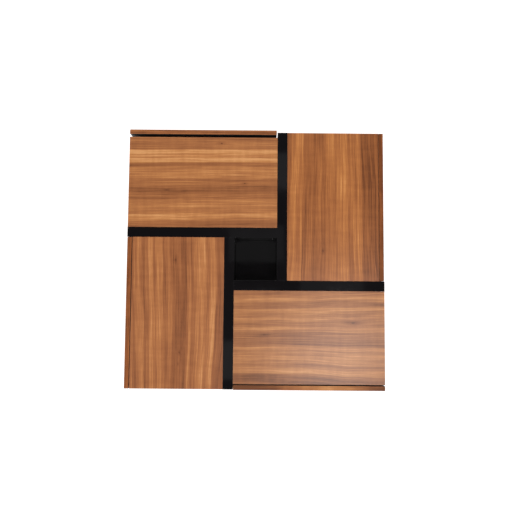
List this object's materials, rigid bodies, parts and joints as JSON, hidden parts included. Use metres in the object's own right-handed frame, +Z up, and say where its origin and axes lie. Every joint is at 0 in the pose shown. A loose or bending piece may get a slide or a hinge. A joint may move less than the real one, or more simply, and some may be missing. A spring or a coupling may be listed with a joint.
{
  "type": "storage coffee table",
  "caption": "Low square pinwheel table with walnut tops, black divider boards, an open centre well and a handleless drawer facing out on each side.",
  "frame": {"origin": "on the floor under the middle of the table, between the four divider boards", "axes": "+Z up; each drawer opens along its own one of -Y (front), +X (right), +Y (back) and -X (left)"},
  "size_m": [0.901, 0.9105, 0.36],
  "materials": {
    "walnut_veneer": "satin lacquer over straight walnut veneer",
    "gloss_black_lacquer": "high gloss black lacquer on board",
    "black_melamine": "matt black melamine on board",
    "dark_sheet": "dark printed hardboard sheet",
    "zinc_plated_steel": "zinc plated cold rolled strip",
    "bright_steel": "bright plated steel",
    "cast_zinc": "die cast zinc, dull",
    "black_plastic": "moulded, fine texture",
    "black_stained_beech": "black stain, matt",
    "beech": "raw fluted beech"
  },
  "bodies": {
    "carcass": {"top_panel_front": "walnut_veneer", "end_panel_front": "walnut_veneer", "divider_front": "gloss_black_lacquer", "bottom_panel_front": "black_melamine", "top_panel_right": "walnut_veneer", "end_panel_right": "walnut_veneer", "divider_right": "gloss_black_lacquer", "bottom_panel_right": "black_melamine", "top_panel_back": "walnut_veneer", "end_panel_back": "walnut_veneer", "divider_back": "gloss_black_lacquer", "bottom_panel_back": "black_melamine", "top_panel_left": "walnut_veneer", "end_panel_left": "walnut_veneer", "divider_left": "gloss_black_lacquer", "bottom_panel_left": "black_melamine", "well_floor": "gloss_black_lacquer", "well_cleats": "black_stained_beech", "feet": "black_plastic", "wood_screws": "bright_steel", "divider_screws": "bright_steel", "cam_fittings": "cast_zinc", "dowels": "beech", "cabinet_runners": "zinc_plated_steel"},
    "drawer_front": {"drawer_front_front": "walnut_veneer", "drawer_left_side_front": "black_melamine", "drawer_right_side_front": "black_melamine", "drawer_back_front": "black_melamine", "drawer_bottom_front": "dark_sheet", "drawer_runners_front": "zinc_plated_steel", "drawer_fixings_front": "bright_steel"},
    "runner_middle_front": {"middle_runners_front": "zinc_plated_steel", "ball_cages_front": "bright_steel"},
    "drawer_right": {"drawer_front_right": "walnut_veneer", "drawer_left_side_right": "black_melamine", "drawer_right_side_right": "black_melamine", "drawer_back_right": "black_melamine", "drawer_bottom_right": "dark_sheet", "drawer_runners_right": "zinc_plated_steel", "drawer_fixings_right": "bright_steel"},
    "runner_middle_right": {"middle_runners_right": "zinc_plated_steel", "ball_cages_right": "bright_steel"},
    "drawer_back": {"drawer_front_back": "walnut_veneer", "drawer_left_side_back": "black_melamine", "drawer_right_side_back": "black_melamine", "drawer_back_back": "black_melamine", "drawer_bottom_back": "dark_sheet", "drawer_runners_back": "zinc_plated_steel", "drawer_fixings_back": "bright_steel"},
    "runner_middle_back": {"middle_runners_back": "zinc_plated_steel", "ball_cages_back": "bright_steel"},
    "drawer_left": {"drawer_front_left": "walnut_veneer", "drawer_left_side_left": "black_melamine", "drawer_right_side_left": "black_melamine", "drawer_back_left": "black_melamine", "drawer_bottom_left": "dark_sheet", "drawer_runners_left": "zinc_plated_steel", "drawer_fixings_left": "bright_steel"},
    "runner_middle_left": {"middle_runners_left": "zinc_plated_steel", "ball_cages_left": "bright_steel"}
  },
  "joints": [
    {"name": "drawer_front_slide", "type": "slide", "parent": "carcass", "child": "drawer_front", "axis": [0, -1, 0], "range_m": [-0.0035, 0.283]},
    {"name": "runner_middle_front_slide", "type": "slide", "parent": "carcass", "child": "runner_middle_front", "axis": [0, -1, 0], "range_m": [-0.00185, 0.1416]},
    {"name": "drawer_right_slide", "type": "slide", "parent": "carcass", "child": "drawer_right", "axis": [1, 0, 0], "range_m": [-0.0005, 0.286]},
    {"name": "runner_middle_right_slide", "type": "slide", "parent": "carcass", "child": "runner_middle_right", "axis": [1, 0, 0], "range_m": [-0.00035, 0.1431]},
    {"name": "drawer_back_slide", "type": "slide", "parent": "carcass", "child": "drawer_back", "axis": [0, 1, 0], "range_m": [-0.01, 0.2765]},
    {"name": "runner_middle_back_slide", "type": "slide", "parent": "carcass", "child": "runner_middle_back", "axis": [0, 1, 0], "range_m": [-0.0051, 0.13835]},
    {"name": "drawer_left_slide", "type": "slide", "parent": "carcass", "child": "drawer_left", "axis": [-1, 0, 0], "range_m": [-0.0015, 0.285]},
    {"name": "runner_middle_left_slide", "type": "slide", "parent": "carcass", "child": "runner_middle_left", "axis": [-1, 0, 0], "range_m": [-0.00085, 0.1426]}
  ],
  "couplings": [
    {"joint": "runner_middle_front_slide", "follows": "drawer_front_slide", "ratio": 0.5},
    {"joint": "runner_middle_right_slide", "follows": "drawer_right_slide", "ratio": 0.5},
    {"joint": "runner_middle_back_slide", "follows": "drawer_back_slide", "ratio": 0.5},
    {"joint": "runner_middle_left_slide", "follows": "drawer_left_slide", "ratio": 0.5}
  ]
}
